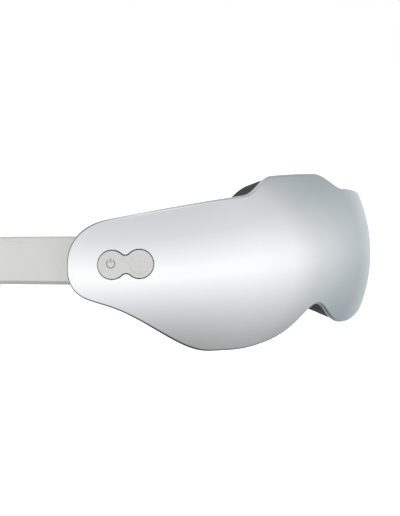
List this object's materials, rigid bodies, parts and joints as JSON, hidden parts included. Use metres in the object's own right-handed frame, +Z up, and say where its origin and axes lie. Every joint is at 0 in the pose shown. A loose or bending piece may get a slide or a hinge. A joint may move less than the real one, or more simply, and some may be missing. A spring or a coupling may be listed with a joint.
{
  "type": "eye massager mask",
  "caption": "Wrap-around eye massager mask with a mirror-finished front shell, rocker key on the right temple, soft inner cushion, inflating eye pads and an adjustable head strap.",
  "frame": {"origin": "face seat: middle of the cushion's face side, between the eyes", "axes": "+Z up, the wearer looks along -Y, +X towards the wearer's left"},
  "size_m": [0.2204, 0.1725, 0.0715],
  "materials": {
    "mirror_shell": "mirror-bright metallised plastic",
    "key_plastic": "satin warm grey",
    "dark_plastic": "fine matte texture",
    "cushion_leather": "soft grained charcoal",
    "pad_fabric": "fine knit",
    "airbag_film": "translucent bladder",
    "heating_film": "amber film with printed track",
    "foam": "closed-cell foam",
    "circuit_board": "solder mask",
    "chip_black": "moulded package",
    "steel": "satin steel",
    "brass": "turned brass",
    "pouch_foil": "satin foil",
    "clear_hose": "milky silicone",
    "white_plastic": "moulded nylon",
    "strap_fabric": "smooth soft elastic",
    "strap_plastic": "satin",
    "hook_patch": "hook tape",
    "loop_patch": "brushed loop tape"
  },
  "bodies": {
    "mask": {"front_shell": "mirror_shell", "rear_housing": "dark_plastic", "housing_seal": "foam", "face_cushion": "cushion_leather", "right_airbag": "airbag_film", "left_airbag": "airbag_film", "key_pivot_pin": "steel", "key_frame": "dark_plastic", "key_board": "circuit_board", "power_switch": "steel", "mode_switch": "steel", "main_board": "circuit_board", "board_chips": "chip_black", "charge_socket": "steel", "board_screws": "steel", "battery": "pouch_foil", "pump_motor": "steel", "pump_head": "white_plastic", "air_manifold": "white_plastic", "valve_body": "white_plastic", "valve_spring": "steel", "pump_hose": "clear_hose", "right_air_hose": "clear_hose", "left_air_hose": "clear_hose", "right_vibration_motor": "steel", "left_vibration_motor": "steel", "speaker": "chip_black", "housing_screws": "steel", "right_strap_pin": "steel", "left_strap_pin": "steel"},
    "key": {"control_key": "key_plastic"},
    "right_pad": {"right_massage_pad": "pad_fabric", "right_heating_film": "heating_film"},
    "left_pad": {"left_massage_pad": "pad_fabric", "left_heating_film": "heating_film"},
    "pump_crank": {"pump_crank": "brass"},
    "valve_plunger": {"valve_plunger": "steel"},
    "right_weight": {"right_vibration_weight": "brass"},
    "left_weight": {"left_vibration_weight": "brass"},
    "strap": {"right_strap_end": "strap_plastic", "left_strap_end": "strap_plastic", "left_strap_band": "strap_fabric", "right_strap_band": "strap_fabric", "strap_ring": "strap_plastic", "loop_patch": "loop_patch"},
    "strap_tail": {"strap_tail": "strap_fabric", "hook_patch": "hook_patch"}
  },
  "joints": [
    {"name": "key_rock", "type": "hinge", "parent": "mask", "child": "key", "pos_m": [-0.08735, 0.00699, 0.00324], "axis": [0.0828, 0.0776, 0.9935], "range_deg": [-2.5, 2.5], "stiffness_Nm_per_rad": 0.05},
    {"name": "left_pad_slide", "type": "slide", "parent": "mask", "child": "left_pad", "axis": [-0.1964, 0.9805, 0], "range_m": [0, 0.005], "stiffness_N_per_m": 40, "deforming": ["left_airbag"]},
    {"name": "right_pad_slide", "type": "slide", "parent": "mask", "child": "right_pad", "axis": [0.1964, 0.9805, 0], "range_m": [0, 0.005], "deforming": ["right_airbag"]},
    {"name": "pump_spin", "type": "hinge", "parent": "mask", "child": "pump_crank", "pos_m": [-0.05072, -0.00522, 0.0095], "axis": [0.9415, -0.3369, 0], "continuous": true},
    {"name": "valve_slide", "type": "slide", "parent": "mask", "child": "valve_plunger", "axis": [0, 0, -1], "range_m": [0, 0.0012], "stiffness_N_per_m": 60, "deforming": ["valve_spring"]},
    {"name": "right_weight_spin", "type": "hinge", "parent": "mask", "child": "right_weight", "pos_m": [-0.07344, 0.00122, -0.01218], "axis": [0.8217, -0.5699, 0], "continuous": true},
    {"name": "left_weight_spin", "type": "hinge", "parent": "mask", "child": "left_weight", "pos_m": [0.07344, 0.00122, -0.01218], "axis": [0.8217, 0.5699, 0], "continuous": true},
    {"name": "strap_tilt", "type": "hinge", "parent": "mask", "child": "strap", "pos_m": [0, 0.023, 0.0032], "axis": [1, 0, 0], "range_deg": [-25, 25]},
    {"name": "tail_peel", "type": "hinge", "parent": "strap", "child": "strap_tail", "pos_m": [0.01271, 0.14533, -0.0072], "axis": [0, 0, -1], "range_deg": [0, 110]}
  ],
  "couplings": [
    {"joint": "right_pad_slide", "follows": "left_pad_slide", "ratio": 1}
  ]
}
